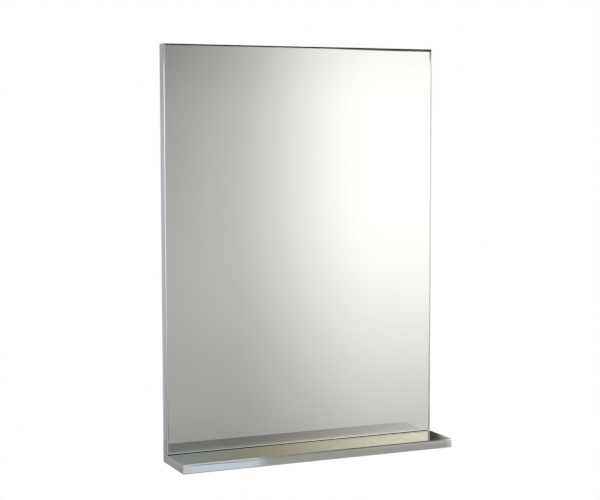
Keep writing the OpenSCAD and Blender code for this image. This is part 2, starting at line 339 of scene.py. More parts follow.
def polished_rail(tree):
    """The hem's nose has a painted dark reflection along the top. Along the bottom its foot has
    painted shade, and the rest has a painted highlight towards the right."""
    x, y, z = axes(tree)
    inside = y.step(*BEHIND_SILVER) * (1 - outer_face(z - Z_MID, FRAME_H / 2))
    made = polish(tree, LINES_ALONG_X, inside)
    nose = y.fall(*HEM_NOSE)
    above_foot = z.step(*FOOT_LINE)
    # Painted highlight on the nose towards the right, painted shade at the bottom rail's foot, and
    # a painted dark reflection on the top rail's nose.
    highlight_mask = nose * above_foot * x.step(*BRIGHT_RAIL)
    with_highlight = mix(tree, highlight_mask, made["Base Color"], PAINTED_HIGHLIGHT_COLOUR)
    with_foot_shade = mix(tree, nose * (1 - above_foot), with_highlight, PAINTED_FOOT_SHADE)
    made["Base Color"] = mix(tree, nose * z.step(*TOP_LINE), with_foot_shade, PAINTED_DARK_REFLECTION)
    return made


def polished_stile(tree):
    """The outer face has painted shade at its front and low down, and the right nose has a painted
    highlight at its top."""
    x, y, z = axes(tree)
    web = outer_face(x, WIDTH / 2)
    made = polish(tree, LINES_ALONG_Z, y.step(*BEHIND_SILVER) * (1 - web))
    # Painted shade on the outer face, at its front and low down.
    shade = web * y.fall(*DIM_WEB_FRONT) * z.fall(*DIM_WEB_LOW) * 0.42
    shaded = mix(tree, shade, made["Base Color"], (0.16, 0.16, 0.165))
    # Painted highlight on the right nose at its top.
    highlight_mask = y.fall(*HEM_NOSE) * x.step(0, 1) * z.step(*BRIGHT_STILE)
    made["Base Color"] = mix(tree, highlight_mask, shaded, (0.98, 0.98, 0.96))
    return made


def polished_shelf(tree):
    """The upper front fold has a painted highlight along its lower half at the left, and painted
    shade from there to the right. The fold at the left end has a little painted shade, and the
    right end has painted light."""
    x, y, z = axes(tree)
    skin = SHELF_T - 0.2
    soft = 0.1
    inner_end = WIDTH / 2 - skin
    hollow = abs(x).fall(inner_end, inner_end + soft)
    hollow = hollow * y.step(skin - SHELF_D - soft, skin - SHELF_D)
    hollow = hollow * z.window(Z_BOTTOM + skin, Z_SHELF - skin, soft)
    made = polish(tree, LINES_ALONG_X, hollow)
    upper = z.step(*UPPER_FOLD)
    front = upper * y.fall(*FRONT_FOLD)
    end = upper * x.fall(*END_FOLD)
    rightward = x.step(*DARK_FOLD_STARTS)
    depth = (0.55 + 0.45 * x.step(*DARK_FOLD_DEEPENS)) * x.fall(*DARK_FOLD_ENDS)
    # Painted shade along the upper front fold towards the right, and a little along the left end's
    # fold.
    painted_fold_shade = (front * rightward * depth * 0.95).math("MAXIMUM", end * 0.3)
    # Painted light on the right end.
    pale = mix(tree, x.step(*PALE_END), made["Base Color"], (0.92, 0.92, 0.9))
    dark = mix(tree, painted_fold_shade, pale, (0.15, 0.15, 0.135))
    # Painted highlight along the lower half of the fold at the left.
    bright = front * z.fall(*UPPER_LINE) * (1 - rightward)
    made["Base Color"] = mix(tree, bright, dark, (0.97, 0.98, 1.0))
    return made


# ---- Other finishes ----

def metal(tree, pattern, dark, light, roughness, height, strength, distance):
    """Sockets of a metal that goes from dark to light with a pattern, and is bumped by height."""
    return {
        "Base Color": mix(tree, pattern, dark, light),
        "Metallic": 1.0,
        "Roughness": roughness,
        "Normal": bump(tree, height, strength, distance),
    }


def mill_steel(tree):
    grain = noise(tree, places(tree, (1, 6, 6)), 600, 3)
    clouds = noise(tree, places(tree), 30, 3)
    roughness = 0.28 + clouds * 0.1 + grain * 0.08
    return metal(tree, clouds, (0.46, 0.46, 0.45), (0.56, 0.56, 0.55), roughness,
                 grain, 0.25, 0.00003)


def spot_welded(tree):
    """Mill-finish steel with the dimples of spot welds along both flanges of the stiffener."""
    made = mill_steel(tree)
    x, y, z = axes(tree)
    along = (x / WELD_PITCH + 0.5).math("FRACT") * WELD_PITCH - WELD_PITCH / 2
    across = abs(y + SHELF_D / 2) - (HAT_CROWN + HAT_FLANGE) / 2
    away = (along * along + across * across) ** 0.5
    spot = away.fall(2.0, 2.5)
    ring = away.window(2.4, 3.0, 0.4)
    made["Base Color"] = mix(tree, ring * 0.6, made["Base Color"], (0.42, 0.33, 0.22))
    made["Normal"] = bump(tree, 1 - spot, 0.8, 0.00015)
    return made


def galvanised(tree):
    """Hot-dip zinc with its spangles: crystals that each catch the light their own way."""
    warped = noise(tree, places(tree), 60, 2) * 0.012
    place = add(tree, "ShaderNodeVectorMath", {"operation": "ADD"}, {0: places(tree), 1: warped})[0]
    tint = add(tree, "ShaderNodeSeparateColor", None, {0: cells(tree, place, 130)["Color"]})
    feathers = noise(tree, places(tree, (1, 1, 9)), 260, 3, 0.6)
    return metal(tree, tint[0] * 0.7 + feathers * 0.3, (0.47, 0.485, 0.5), (0.68, 0.69, 0.7),
                 0.3 + tint[1] * 0.2, tint[2] * 0.5 + feathers * 0.5, 0.3, 0.00006)


def bright_zinc(tree):
    """Electroplated zinc, bluish, with the drag marks of the folding tool along its length."""
    drag = noise(tree, places(tree, (3, 500, 500)), 1, 3, 0.6)
    clouds = noise(tree, places(tree), 34, 4)
    roughness = 0.2 + clouds * 0.16 + drag * 0.05
    return metal(tree, clouds, (0.56, 0.59, 0.63), (0.7, 0.71, 0.72), roughness,
                 drag, 0.15, 0.00004)


def screw_steel(tree):
    turning = noise(tree, places(tree), 900, 2)
    return metal(tree, turning, (0.54, 0.54, 0.53), (0.64, 0.63, 0.61), 0.16 + turning * 0.14,
                 turning, 0.2, 0.00002)


def rivet_aluminium(tree):
    cast = noise(tree, places(tree), 1500, 2)
    return metal(tree, cast, (0.7, 0.71, 0.72), (0.8, 0.8, 0.8), 0.26 + cast * 0.16,
                 cast, 0.2, 0.00002)


def float_glass(tree):
    film = noise(tree, places(tree), 5, 3).step(0.5, 0.8)
    return {
        "Base Color": (0.945, 0.955, 0.945),
        "Roughness": film * 0.004,
        "IOR": 1.52,
        "Transmission Weight": 1.0,
    }


def silver(tree):
    """Silver towards the glass, with painted shade along the right of its top edge, and a grey
    protective paint on its back."""
    x, y, z = axes(tree)
    paint = y.step(Y_SILVER + 0.05, Y_SILVER + 0.1)
    rolled = noise(tree, places(tree), 900, 2)
    # Painted shade on the silver along the right of the glass's top edge.
    edge = Z_MID + GLASS_H / 2 - EDGE_SHADE_W * x.step(*EDGE_SHADE_WIDENS)
    edge_shade = z.step(edge - 0.2, edge + 0.1) * x.step(*EDGE_SHADE_STARTS)
    silvered = mix(tree, edge_shade, (0.965, 0.945, 0.945), (0.03, 0.03, 0.028))
    return {
        "Base Color": mix(tree, paint, silvered, (0.2, 0.21, 0.22)),
        "Metallic": 1 - paint,
        "Roughness": paint * (0.45 + rolled * 0.2),
    }


def sealant(tree):
    skin = noise(tree, places(tree), 700, 2)
    return {
        "Base Color": mix(tree, skin, (0.15, 0.15, 0.15), (0.19, 0.19, 0.19)),
        "Roughness": 0.35 + skin * 0.2,
        "Normal": bump(tree, skin, 0.3, 0.0001),
    }


def foam(tree):
    bubbles = cells(tree, places(tree), 1500)["Distance"]
    return {
        "Base Color": mix(tree, bubbles, (0.78, 0.78, 0.76), (0.9, 0.9, 0.88)),
        "Roughness": 0.75 + bubbles * 0.15,
        "Normal": bump(tree, bubbles, 0.5, 0.0002),
    }


RAIL_POLISH = material("polished_stainless_rail", polished_rail)
STILE_POLISH = material("polished_stainless_stile", polished_stile)
SHELF_POLISH = material("polished_stainless_shelf", polished_shelf)
MILL_STEEL = material("mill_finish_stainless", mill_steel)
SPOT_WELDED = material("spot_welded_stainless", spot_welded)
GALVANISED = material("galvanised_sheet", galvanised)
ZINC = material("bright_zinc_plate", bright_zinc)
SCREW_STEEL = material("stainless_screw", screw_steel)
ALUMINIUM = material("rivet_aluminium", rivet_aluminium)
GLASS = material("float_glass", float_glass)
SILVER = material("mirror_silver", silver)
SEALANT = material("edge_sealant", sealant)
FOAM = material("foam_tape", foam)


# ---- Meshes ----

def mesh_piece(name, verts, faces, finish):
    """A piece of points in millimetres, whose faces are turned outwards."""
    mesh = bpy.data.meshes.new(name)
    mesh.from_pydata([[MM * c for c in v] for v in verts], [], faces)
    build = bmesh.new()
    build.from_mesh(mesh)
    bmesh.ops.recalc_face_normals(build, faces=build.faces)
    build.to_mesh(mesh)
    build.free()
    mesh.materials.append(finish)
    return placed(name, mesh)


def placed(name, data):
    """Puts a mesh, lamp or camera in the scene."""
    made = bpy.data.objects.new(name, data)
    bpy.context.scene.collection.objects.link(made)
    return made


def tube(name, rings, finish):
    """A closed piece through rings of points, each with as many points as the others."""
    n = len(rings[0])
    last = n * (len(rings) - 1)
    verts = [point for ring in rings for point in ring]
    faces = [[k + i, k + (i + 1) % n, k + n + (i + 1) % n, k + n + i]
             for k in range(0, last, n) for i in range(n)]
    faces += [list(range(n)), list(range(last, last + n))[::-1]]
    return mesh_piece(name, verts, faces, finish)


def circle(d, z, sides, x=0, y=0):
    turns = [2 * math.pi * i / sides for i in range(sides)]
    return [(x + d / 2 * math.cos(a), y + d / 2 * math.sin(a), z) for a in turns]


def run(name, outline, length, place, finish, mitre=False):
    """Runs an outline along a member. place(a, b, s) turns outline and length into X, Y, Z, and a
    mitred member gets shorter by the second coordinate at each end."""
    rings = []
    for end in (-1, 1):
        rings.append([place(a, b, end * (length / 2 - (b + PLAY if mitre else 0)))
                      for a, b in outline])
    return tube(name, rings, finish)


def turned(name, profile, finish, sides=40):
    """A turned part: profile lists its radius and height from end to end, on Z."""
    verts = []
    for r, z in profile:
        verts += circle(2 * r, z, sides) if r else [(0, 0, z)]
    faces = []
    index = 0
    for (r0, _), (r1, _) in zip(profile, profile[1:]):
        for i in range(sides):
            j = (i + 1) % sides
            if r0 == 0:
                faces.append([index, index + 1 + j, index + 1 + i])
            elif r1 == 0:
                faces.append([index + i, index + j, index + sides])
            else:
                faces.append([index + i, index + j, index + sides + j, index + sides + i])
        index += 1 if r0 == 0 else sides
    return mesh_piece(name, verts, faces, finish)


def round_tool(x, y, z0, z1, d0, d1=None):
    """A round cutting tool that stands on Z."""
    ends = ((z0, d0), (z1, d1 or d0))
    return tube("tool", [circle(d, z, 48, x, y) for z, d in ends], MILL_STEEL)


def drill(x, z, y0, y1, d):
    """A round cutting tool that lies on Y."""
    tool = round_tool(0, 0, y0, y1, d)
    shift = Matrix.Translation((x * MM, 0, z * MM))
    tool.data.transform(shift @ Matrix.Rotation(-math.pi / 2, 4, "X"))
    return tool


def hexagon(name, across, z0, z1, finish):
    """A six-sided bar on Z, across wide between its flats."""
    d = across * 2 / math.sqrt(3)
    return tube(name, [circle(d, z, 6) for z in (z0, z1)], finish)


def evaluated(piece):
    """Makes a piece's modifiers its plain mesh."""
    depsgraph = bpy.context.evaluated_depsgraph_get()
    mesh = bpy.data.meshes.new_from_object(piece.evaluated_get(depsgraph))
    piece.modifiers.clear()
    piece.data = mesh
    return piece


def carve(piece, operation, *tools):
    """Cuts the tools out of a piece, or keeps what lies in them, and removes them."""
    for tool in tools:
        modifier = piece.modifiers.new("carve", "BOOLEAN")
        modifier.operation = operation
        modifier.solver = "EXACT"
        modifier.object = tool
    evaluated(piece)
    for tool in tools:
        bpy.data.objects.remove(tool)
    return piece


def crisp(piece, degrees=32):
    """Smooth folds beside faces that stay truly flat."""
    for face in piece.data.polygons:
        face.use_smooth = True
    piece.data.set_sharp_from_angle(angle=math.radians(degrees))
    modifier = piece.modifiers.new("flat_faces", "WEIGHTED_NORMAL")
    modifier.mode = "FACE_AREA"
    modifier.keep_sharp = True
    return evaluated(piece)


def joined(name, *pieces):
    """One piece of several closed ones."""
    build = bmesh.new()
    for piece in pieces:
        build.from_mesh(piece.data)
        bpy.data.objects.remove(piece)
    mesh = bpy.data.meshes.new(name)
    build.to_mesh(mesh)
    build.free()
    return placed(name, mesh)


def spread(count, span):
    return [-span / 2 + i * span / (count - 1) for i in range(count)]


# ---- Outlines ----

def folded_strip(path, t, r, steps=10):
    """Closed outline of a sheet t thick. Its one face follows path, with the sheet on the left of
    it, and every bend has the inside radius r. Points that fall together are left out."""
    near = []
    far = []
    path = [Vector(p) for p in path]
    for i, p in enumerate(path):
        if i == 0 or i == len(path) - 1:
            ahead = (path[1] - path[0] if i == 0 else path[-1] - path[-2]).normalized()
            near.append(p)
            far.append(p + t * Vector((-ahead.y, ahead.x)))
            continue
        before = (p - path[i - 1]).normalized()
        after = (path[i + 1] - p).normalized()
        left = before.x * after.y - before.y * after.x > 0
        sense = 1 if left else -1
        radius, other = (r + t, r) if left else (r, r + t)
        half = before.angle(after) / 2
        side = sense * Vector((-before.y, before.x))
        centre = p - before * radius * math.tan(half) + side * radius
        for k in range(steps + 1):
            spoke = Matrix.Rotation(sense * 2 * half * k / steps, 2) @ (-side)
            near.append(centre + spoke * radius)
            far.append(centre + spoke * other)
    outline = near + far[::-1]
    return [p for i, p in enumerate(outline) if (p - outline[i - 1]).length > 1e-4]


def rounded_outline(w, h, radii, steps=8):
    """Rectangle centred on the first axis that stands on zero: its corner radii are the lower
    left, lower right, upper right and upper left one."""
    corners = ((-w / 2, 0), (w / 2, 0), (w / 2, h), (-w / 2, h))
    outline = []
    for i, ((cx, cy), r) in enumerate(zip(corners, radii)):
        if r == 0:
            outline.append((cx, cy))
            continue
        ox = cx + r * (1 if cx < 0 else -1)
        oy = cy + r * (1 if cy == 0 else -1)
        for k in range(steps + 1):
            a = math.pi * (1 + i / 2 + k / steps / 2)
            outline.append((ox + r * math.cos(a), oy + r * math.sin(a)))
    return outline


# ---- Frame ----

HEM = folded_strip([(HEM_D, HEM_W), (0, HEM_W), (0, 0), (FRAME_D, 0)], FRAME_T, HEM_GAP / 2)


def on_bottom(a, b, s):
    return s, Y_FRONT + a, Z_SHELF + b


def on_top(a, b, s):
    return s, Y_FRONT + a, Z_TOP - b


def on_left(a, b, s):
    return b - WIDTH / 2, Y_FRONT + a, Z_MID + s


def on_right(a, b, s):
    return WIDTH / 2 - b, Y_FRONT + a, Z_MID + s


def stile(name, place):
    return crisp(run(name, HEM, FRAME_H, place, STILE_POLISH, True))


def rail(name, place, *tools):
    return crisp(carve(run(name, HEM, WIDTH, place, RAIL_POLISH, True), "DIFFERENCE", *tools))


def countersink(x):
    """Tool for a screw's conical seat in the top rail, with a little play all round."""
    low, high = Z_TOP - CONE_H - SEAT_PLAY, Z_TOP + SEAT_PLAY
    d = SCREW_D + SEAT_PLAY
    return round_tool(x, Y_SCREW, low, high, d, d + 2 * (high - low))


def screw_holes(z, t):
    """Tools for the shelf screws' holes in a sheet t thick whose upper face is at z."""
    return [round_tool(x, Y_SCREW, z - t - BEYOND, z + BEYOND, SCREW_HOLE_D)
            for x in spread(SHELF_SCREWS, SCREW_SPAN)]


left_stile = stile("stile_left", on_left)
right_stile = stile("stile_right", on_right)
top_rail = rail("rail_top", on_top, *[countersink(x) for x in spread(TOP_SCREWS, SCREW_SPAN)])
bottom_rail = rail("rail_bottom", on_bottom, *screw_holes(Z_SHELF + FRAME_T, FRAME_T))


# ---- Mirror ----

def glass_plate():
    """The glass, with its front edges seamed, just clear of the silver and of the seal round it."""
    w, h = GLASS_W / 2 - GLASS_PLAY, GLASS_H / 2 - GLASS_PLAY
    corners = ((-1, -1), (1, -1), (1, 1), (-1, 1))
    rings = []
    for y, inset in ((Y_GLASS, GLASS_SEAM), (Y_GLASS + GLASS_SEAM, 0), (Y_SILVER - PLAY, 0)):
        rings.append([(sx * (w - inset), y, Z_MID + sz * (h - inset)) for sx, sz in corners])
    return tube("mirror_plate", rings, GLASS)


mirror_plate = glass_plate()


# ---- Shelf ----

def prism(outline, length, place):
    return run("tool", outline, length, place, SHELF_POLISH)


def folded_block(w, d, h, y, z, r, plan=None):
    """Block w by d by h on height z whose back is at y. It is rounded at its folds, but not along
    the lower edge by the wall. plan rounds its front corners too, as seen from above."""
    block = prism(rounded_outline(w, h, (r, r, r, r)), d, lambda a, b, s: (a, y - d / 2 + s, z + b))
    tools = [prism(rounded_outline(d, h, (r, 0, r, r)), w + 4 * BEYOND,
                   lambda a, b, s: (s, y - d / 2 + a, z + b))]
    if plan:
        tools.append(prism(rounded_outline(w, d, (plan, plan, 0, 0)), h + 4 * BEYOND,
                           lambda a, b, s: (a, y - d + b, z + h / 2 + s)))
    return carve(block, "INTERSECT", *tools)


def shelf_tray():
    """The folded shelf: its hollow, the mouth between its returns, and its screw holes."""
    tray = folded_block(WIDTH, SHELF_D, SHELF_H, 0, Z_BOTTOM, SHELF_FOLD, SHELF_CORNER)
    hollow = folded_block(WIDTH - 2 * SHELF_T, SHELF_D - 2 * SHELF_T, SHELF_H - 2 * SHELF_T,
                          -SHELF_T, Z_BOTTOM + SHELF_T, SHELF_BEND)
    mouth_d = SHELF_D - RETURN_W - SHELF_T
    mouth_outline = rounded_outline(WIDTH - 2 * RETURN_W, SHELF_H / 2 + BEYOND, (0, 0, 0, 0))
    mouth = prism(mouth_outline, mouth_d,
                  lambda a, b, s: (a, -SHELF_T - mouth_d / 2 + s, Z_BOTTOM - BEYOND + b))
    carve(tray, "DIFFERENCE", hollow)
    carve(tray, "DIFFERENCE", mouth)
    carve(tray, "DIFFERENCE", *screw_holes(Z_SHELF, SHELF_T))
    tray.name = "shelf_tray"
    return crisp(tray)


def stiffener():
    """Hat section under the shelf, whose flanges lie against the underside of the sheet."""
    half = HAT_CROWN / 2
    brim = half + HAT_FLANGE
    path = [(-brim, -HAT_T), (-half, -HAT_T), (-half, -HAT_H), (half, -HAT_H), (half, -HAT_T),
            (brim, -HAT_T)]
    outline = folded_strip(path, HAT_T, RAIL_BEND)
    return crisp(run("stiffener", outline, HAT_L,
                     lambda a, b, s: (s, a - SHELF_D / 2, Z_SHELF - SHELF_T + b), SPOT_WELDED))


tray = shelf_tray()
hat = stiffener()


# ---- Hook rails and cleats ----

def hooked(base, depth, hook):
    """Section of a rail: its base hangs from a step, which ends in an upright hook."""
    path = [(depth - RAIL_T, hook), (depth - RAIL_T, RAIL_T), (0, RAIL_T), (0, -base)]
    return folded_strip(path, RAIL_T, RAIL_BEND)


def wall_rail(name, z):
    made = run(name, hooked(RAIL_BASE, RAIL_D, RAIL_HOOK), RAIL_W,
               lambda a, b, s: (s, -a, z + RAIL_BASE / 2 + b), ZINC)
    drills = [drill(x, z, -RAIL_T - BEYOND, BEYOND, WALL_HOLE_D)
              for x in (-WALL_HOLE_X, WALL_HOLE_X)]
    return crisp(carve(made, "DIFFERENCE", *drills))


def cleat(name, z):
    return crisp(run(name, hooked(CLEAT_BASE, CLEAT_D, CLEAT_HOOK), CLEAT_W,
                     lambda a, b, s: (s, Y_CLEAT + a, z - b), ZINC))


rail_above = wall_rail("rail_above", 0)
rail_below = wall_rail("rail_below", Z_LOWER)
cleat_above = cleat("cleat_above", Z_UPPER_CLEAT)
cleat_below = cleat("cleat_below", Z_LOWER_CLEAT)


# ---- Fasteners ----

def threaded_rod(z0):
    """The thread of both screws, on Z from z0 to the screw's length, where it runs out."""
    sides = 28
    rings_per_turn = 8
    steps = int((SCREW_L - z0) / PITCH * rings_per_turn)
    crest = SCREW_D / 2 - PLAY
    rings = []
    for k in range(steps + 1):
        z = z0 + (SCREW_L - z0) * k / steps
        runout = crest - THREAD_DEPTH + max(0, SCREW_L - z) * 1.2
        ring = []
        for i in range(sides):
            wave = abs(((z - z0) / PITCH - i / sides) % 1 - 0.5) * 2
            r = min(crest - THREAD_DEPTH * min(1, wave * 1.25), runout)
            a = 2 * math.pi * i / sides
            ring.append((r * math.cos(a), r * math.sin(a), z))
        rings.append(ring)
    return tube("rod", rings, SCREW_STEEL)


def blind_rivet():
    """Pulled rivet from the front of the pan, at zero, to its domed head behind the cleat."""
    back = PAN_T + RAIL_T
    body, head, tail = RIVET_D / 2, RIVET_HEAD_D / 2, (RIVET_D + RIVET_HEAD_D) / 4
    h = RIVET_HEAD_H
    pulled_tail = [(0, -h), (0.7, -h * 0.97), (1.15, -h * 0.8), (1.3, -h * 0.6), (1.45, -h * 0.75),
                   (1.9, -h * 0.9), (tail * 0.88, -h * 0.75), (tail, -h * 0.35),
                   (tail * 0.94, -0.05), (body, 0)]
    dome = [(body, back), (head - 0.06, back), (head, back + 0.06), (head, back + 0.24),
            (head * 0.95, back + h * 0.36), (head * 0.8, back + h * 0.62),
            (head * 0.6, back + h * 0.85), (head * 0.42, back + h * 0.97), (1.3, back + h)]
    mandrel = [(1.15, back + h * 0.95), (1.08, back + h * 0.6), (0.95, back + h * 0.6),
               (0.88, back + h * 0.78), (0.5, back + h * 0.84), (0, back + h * 0.82)]
    return crisp(turned("blind_rivet", pulled_tail + dome + mandrel, ALUMINIUM), 40)


def hex_nut():
    """Chamfered nut on Z whose lower face is at zero."""
    tip = NUT_AF / math.sqrt(3)
    flat = NUT_AF / 2 - 0.1
    drop = (tip - flat) * math.tan(math.radians(30))
    rim = tip + 0.1
    blank = [(0, 0), (flat, 0), (rim, drop), (rim, NUT_H - drop), (flat, NUT_H), (0, NUT_H)]
    nut = hexagon("hex_nut", NUT_AF, -BEYOND, NUT_H + BEYOND, ZINC)
    carve(nut, "INTERSECT", turned("chamfers", blank, ZINC, 60))
    bore = SCREW_D / 2 + PLAY
    mouth = bore + CHAMFER
    sink = [(0, -BEYOND), (mouth, -BEYOND), (mouth, 0), (bore, CHAMFER), (bore, NUT_H - CHAMFER),
            (mouth, NUT_H), (mouth, NUT_H + BEYOND), (0, NUT_H + BEYOND)]
    return crisp(carve(nut, "DIFFERENCE", turned("bore", sink, ZINC, 60)), 24)


def screw_head(profile, z0, z1):
    """A turned head with its socket from z0 to z1."""
    head = turned("head", profile, SCREW_STEEL, 64)
    return carve(head, "DIFFERENCE", hexagon("socket", SOCKET_AF, z0, z1, SCREW_STEEL))


def shelf_screw():
    """Screw on Z that stands on its head, with its seat at zero and a socket in its underside."""
    r, h = HEAD_D / 2, HEAD_H
    profile = [(0, -h), (r * 0.7, -h), (r - 0.35, -h + 0.04), (r - 0.1, -h + 0.15),
               (r, -h + 0.42), (r, -0.08), (r - 0.08, 0), (0, 0)]
    head = screw_head(profile, -h - BEYOND, SOCKET_H - h)
    return crisp(joined("shelf_screw", head, threaded_rod(-ROD_ROOT)), 24)


def sunk_screw():
    """Countersunk screw on Z whose flat top is at zero."""
    r = HEAD_D / 2
    profile = [(0, 0), (r - 0.05, 0), (r, -0.04), (r, -0.12), (SCREW_D / 2, -CONE_H), (0, -CONE_H)]
    head = screw_head(profile, -SOCKET_H, BEYOND)
    rod = threaded_rod(CONE_H - ROD_ROOT)
    rod.data.transform(Matrix.Rotation(math.pi, 4, "X"))
    return crisp(joined("sunk_screw", head, rod), 24)


def row_tree():
    """Geometry Nodes: copies of a fastener along a row on X, each turned on its axis by chance."""
    tree = bpy.data.node_groups.new("fastener_row", "GeometryNodeTree")
    sockets = {"Fastener": "Geometry", "Count": "Int", "Span": "Float", "Place": "Vector",
               "Tilt": "Vector", "Seed": "Int", "Finish": "Material"}
    for name, kind in sockets.items():
        tree.interface.new_socket(name, in_out="INPUT", socket_type="NodeSocket" + kind)
    tree.interface.new_socket("Row", in_out="OUTPUT", socket_type="NodeSocketGeometry")
    given = add(tree, "NodeGroupInput")
    span, count = given["Span"], given["Count"]
    first = add(tree, "ShaderNodeCombineXYZ", None, {"X": -0.5 * span})[0]
    gap = add(tree, "ShaderNodeCombineXYZ", None, {"X": span / (count - 1)})[0]
    ends = {0: given["Place"], 1: first}
    start = add(tree, "ShaderNodeVectorMath", {"operation": "ADD"}, ends)[0]
    line = add(tree, "GeometryNodeMeshLine", {"mode": "OFFSET"},
               {"Count": count, "Start Location": start, "Offset": gap})["Mesh"]
    spin = add(tree, "FunctionNodeRandomValue", {"data_type": "FLOAT"},
               {2: 0.0, 3: 2 * math.pi, "Seed": given["Seed"]})[1]
    turn = add(tree, "ShaderNodeCombineXYZ", None, {"Z": spin})[0]
    own = add(tree, "FunctionNodeEulerToRotation", None, {0: turn})[0]
    tilt = add(tree, "FunctionNodeEulerToRotation", None, {0: given["Tilt"]})[0]
    stance = add(tree, "FunctionNodeRotateRotation", {"rotation_space": "GLOBAL"},
                 {0: own, 1: tilt})[0]
    copies = add(tree, "GeometryNodeInstanceOnPoints", None,
                 {"Points": line, "Instance": given["Fastener"], "Rotation": stance})["Instances"]
    real = add(tree, "GeometryNodeRealizeInstances", None, {"Geometry": copies})[0]
    dressed = add(tree, "GeometryNodeSetMaterial", None,
                  {"Geometry": real, "Material": given["Finish"]})[0]
    add(tree, "NodeGroupOutput", None, {"Row": dressed})
    return tree


ROW = row_tree()


def fasten(name, fastener, finish, rows, tilt=(0, 0, 0)):
    """Sets out copies of a fastener. Each row gives their count, span, height and depth."""
    sets = []
    for seed, (count, span, z, y) in enumerate(rows):
        copy = placed(name, fastener.data.copy())
        modifier = copy.modifiers.new("row", "NODES")
        modifier.node_group = ROW
        values = {"Count": count, "Span": span * MM, "Place": (0, y * MM, z * MM), "Tilt": tilt,
                  "Seed": seed, "Finish": finish}
        for socket in ROW.interface.items_tree:
            if socket.name in values:
                modifier[socket.identifier] = values[socket.name]
        sets.append(evaluated(copy))
    bpy.data.objects.remove(fastener)
    made = joined(name, *sets)
    made.data.materials.append(finish)
    return made


INTO_WALL = (-math.pi / 2, 0, 0)
rivets = fasten("rivets", blind_rivet(), ALUMINIUM,
                [(RIVETS, RIVET_SPAN, z + RIVET_RISE, Y_PAN)
                 for z in (Z_UPPER_CLEAT, Z_LOWER_CLEAT)], INTO_WALL)
nuts = fasten("nuts", hex_nut(), ZINC,
              [(TOP_SCREWS, SCREW_SPAN, Z_TOP - NUT_REACH - NUT_H, Y_SCREW),
               (SHELF_SCREWS, SCREW_SPAN, Z_SHELF + NUT_REACH, Y_SCREW)])
frame_screws = fasten("frame_screws", sunk_screw(), SCREW_STEEL,
                      [(TOP_SCREWS, SCREW_SPAN, Z_TOP, Y_SCREW)])
tray_screws = fasten("tray_screws", shelf_screw(), SCREW_STEEL,
                     [(SHELF_SCREWS, SCREW_SPAN, Z_SHELF - SHELF_T, Y_SCREW)])


# ---- Bodies, nodes and slots ----

dressing = [
    (left_stile, "mirror", "left_stile", "polished_steel"),
    (right_stile, "mirror", "right_stile", "polished_steel"),
    (top_rail, "mirror", "top_rail", "polished_steel"),
    (bottom_rail, "mirror", "bottom_rail", "polished_steel"),
    (mirror_plate, "mirror", "mirror_glass", "glass"),
    (tray, "mirror", "shelf_shell", "shelf_steel"),
    (hat, "mirror", "shelf_stiffener", "plain_steel"),
    (cleat_above, "mirror", "upper_cleat", "zinc_steel"),
    (cleat_below, "mirror", "lower_cleat", "zinc_steel"),
    (rail_above, "wall_rails", "upper_wall_rail", "zinc_steel"),
    (rail_below, "wall_rails", "lower_wall_rail", "zinc_steel"),
    (rivets, "mirror", "cleat_rivets", "fastener_steel"),
    (nuts, "mirror", "pan_nuts", "fastener_steel"),
    (frame_screws, "mirror", "top_screws", "fastener_steel"),
    (tray_screws, "mirror", "shelf_screws", "fastener_steel"),
]
for piece, body, node, slot in dressing:
    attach(piece, body)
    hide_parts(node)

finishes = {
    "corner_angles": MILL_STEEL,
    "silvering": SILVER,
    "edge_seal": SEALANT,
    "foam_tapes": FOAM,
    "back_pan": GALVANISED,
}
for node, finish in finishes.items():
    for material_slot in nodes[node].material_slots:
        material_slot.material = finish


# ---- Studio: azimuth from the front towards the right and elevation, in degrees ----

SLOPES_TURN = 18.8  # azimuth at which the sloping edges have their stated elevation


def plain_room(tree, around, rise):
    """A grey room, dimmer below, dark above and bright on its ceiling. The wall that the mirror
    shows in the photograph is bright towards the right, and dimmer low down and at its left."""
    faced = around.window(0, 60, 10)
    left = around.fall(16.5, 25)
    wall = (0.615 + 0.423 * around.step(20.9, 27.3)) * (0.214 + 0.786 * rise.step(-18.7, -1.95))
    wall = wall.dimmed(0.467, left * rise.step(-14, 0)).dimmed(0.3, left * rise.step(-1.5, 5))
    wall = wall.dimmed(0.125, rise.step(0.5, 4)) * 1.17
    wall = wall * (1 + 0.07 * around.fall(22.5, 24.6) * rise.fall(-11.5, -8.5))
    room = 0.68 - 0.16 * rise.fall(-13, -6) - 0.12 * rise.fall(-70, -24)
    room = room - 0.35 * rise.step(10, 26) + 0.75 * rise.step(52, 66)
    warm = 0.975 + 0.015 * wall.step(0.85, 1.1)
    return tinted(tree, room * (1 - faced) + wall * faced, (1, 1, warm))


def cream_wall(tree, around, rise):
    """Cream above the grey wall, greyer at the left, and darker under a sloping edge."""
    left = around.window(0, 19, 4)
    cream = mix(tree, around.step(21, 29.5), (0.38, 0.36, 0.25), (1.05, 1.02, 0.86))
    cream = mix(tree, left, cream, (0.335, 0.375, 0.374))
    band = mix(tree, left, (0.0, 0.03, 0.25), (0.079, 0.0, 0.021))
    sloped = rise + 0.091 * (around - SLOPES_TURN)
    return mix(tree, 0.32 * sloped.fall(12.64, 12.74), cream, band)


def cool_wall(tree, rise):
    """Cool grey, a little dimmer high up and in steps low down."""
    level = (0.715 * (1 - 0.2 * rise.step(-1, 2.5))).dimmed(0.12, rise.fall(-12, -8))
    level = level.dimmed(0.25, rise.fall(-12.6, -11.7)).dimmed(0.25, rise.fall(-13.9, -12.8))
    return tinted(tree, level, (0.935, 0.955, 1.03))


